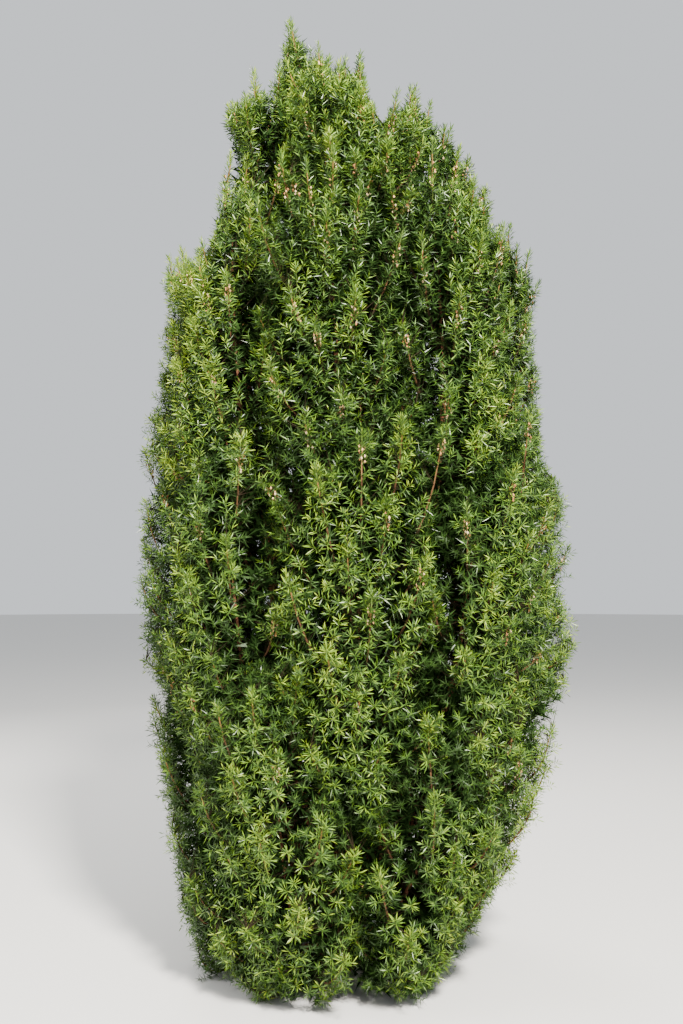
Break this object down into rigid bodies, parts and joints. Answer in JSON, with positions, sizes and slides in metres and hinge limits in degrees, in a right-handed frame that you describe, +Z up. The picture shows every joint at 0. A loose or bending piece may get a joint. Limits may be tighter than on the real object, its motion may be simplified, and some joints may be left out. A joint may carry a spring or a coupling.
{
  "type": "yew shrub",
  "caption": "Tall dense columnar yew shrub: short trunk, upright boughs and plume-like masses of dark green needle sprays with brighter tips",
  "frame": {"origin": "middle of the flat cut at the foot of the trunk, at ground level", "axes": "+Z is up along the shrub, -Y is the front as pictured, +X is the right side seen from the front"},
  "size_m": [1.8429, 1.7954, 4.1699],
  "materials": {
    "trunk_bark": "rough flaking reddish-brown bark",
    "bough_bark": "thin scaly orange-brown bark",
    "needles": "satin dark green needles with yellow-green tips"
  },
  "bodies": {
    "root": {"trunk": "trunk_bark", "bough_skirt_1": "bough_bark", "bough_skirt_2": "bough_bark", "bough_skirt_3": "bough_bark", "bough_skirt_4": "bough_bark", "bough_skirt_5": "bough_bark", "bough_skirt_6": "bough_bark", "bough_waist_1": "bough_bark", "bough_waist_2": "bough_bark", "bough_waist_3": "bough_bark", "bough_waist_4": "bough_bark", "bough_waist_5": "bough_bark", "bough_waist_6": "bough_bark", "bough_waist_7": "bough_bark", "bough_waist_8": "bough_bark", "bough_shoulder_1": "bough_bark", "bough_shoulder_2": "bough_bark", "bough_shoulder_3": "bough_bark", "bough_shoulder_4": "bough_bark", "bough_shoulder_5": "bough_bark", "bough_shoulder_6": "bough_bark", "bough_shoulder_7": "bough_bark", "bough_shoulder_8": "bough_bark", "bough_crest_1": "bough_bark", "bough_crest_2": "bough_bark", "bough_crest_3": "bough_bark", "bough_crest_4": "bough_bark", "bough_peak_1": "bough_bark", "foliage_skirt_1": "needles", "foliage_skirt_2": "needles", "foliage_skirt_3": "needles", "foliage_skirt_4": "needles", "foliage_skirt_5": "needles", "foliage_skirt_6": "needles", "foliage_waist_1": "needles", "foliage_waist_2": "needles", "foliage_waist_3": "needles", "foliage_waist_4": "needles", "foliage_waist_5": "needles", "foliage_waist_6": "needles", "foliage_waist_7": "needles", "foliage_waist_8": "needles", "foliage_shoulder_1": "needles", "foliage_shoulder_2": "needles", "foliage_shoulder_3": "needles", "foliage_shoulder_4": "needles", "foliage_shoulder_5": "needles", "foliage_shoulder_6": "needles", "foliage_shoulder_7": "needles", "foliage_shoulder_8": "needles", "foliage_crest_1": "needles", "foliage_crest_2": "needles", "foliage_crest_3": "needles", "foliage_crest_4": "needles", "foliage_peak_1": "needles"}
  },
  "joints": []
}
